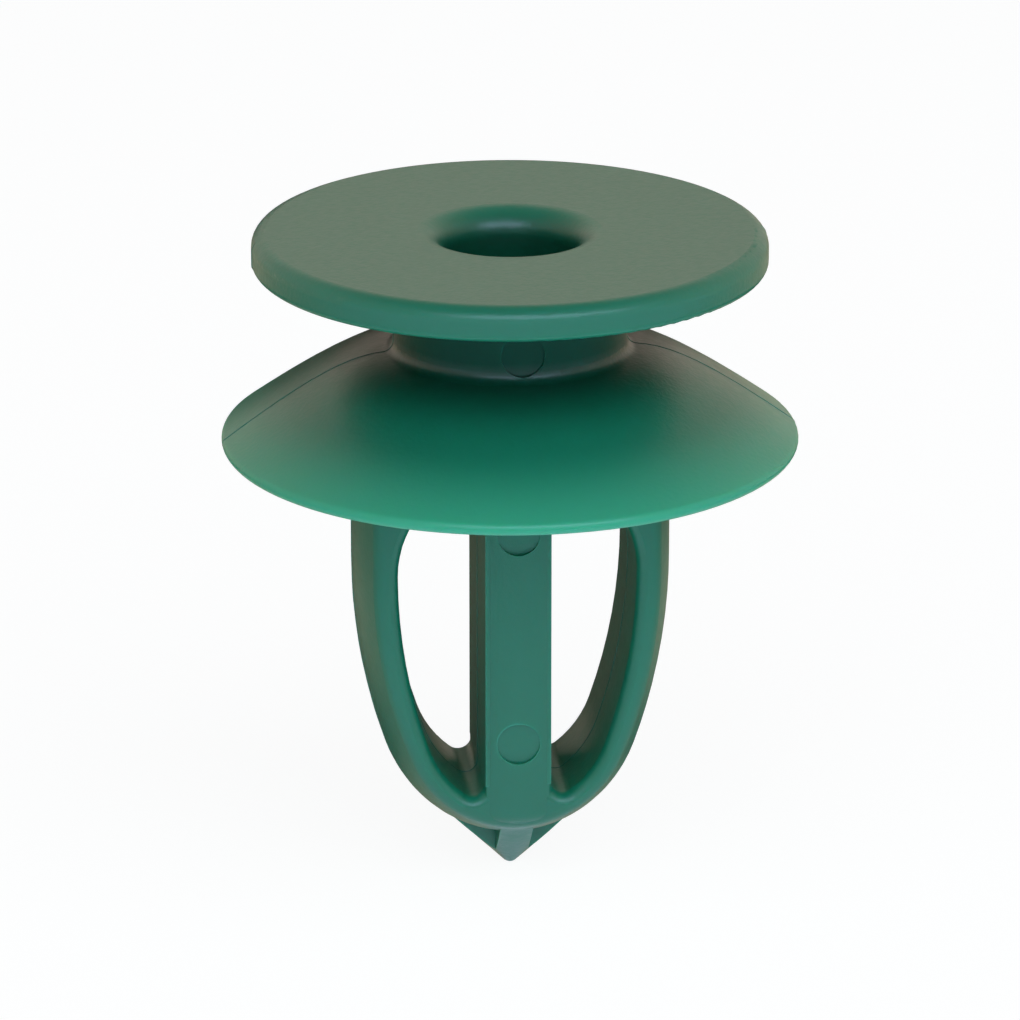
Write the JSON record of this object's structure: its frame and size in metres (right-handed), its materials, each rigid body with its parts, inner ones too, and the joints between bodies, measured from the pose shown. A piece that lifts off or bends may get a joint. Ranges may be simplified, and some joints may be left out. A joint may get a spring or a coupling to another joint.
{
  "type": "retainer clip",
  "caption": "Push-in trim retainer clip: round bored head on a neck, springy sealing skirt, and a bowed two-legged cage with a centre post and crossed-fin point.",
  "frame": {"origin": "centre of the plane that the skirt's rim lies in, which is where the clip seats on the panel", "axes": "+Z along the clip's axis, from the point to the head; X through the two legs; Y through the windows"},
  "size_m": [0.02, 0.02, 0.0234],
  "materials": {
    "green_nylon": "semi-gloss injection-moulded nylon with a fine mould texture"
  },
  "bodies": {
    "root": {"retainer_clip": "green_nylon"}
  },
  "joints": []
}
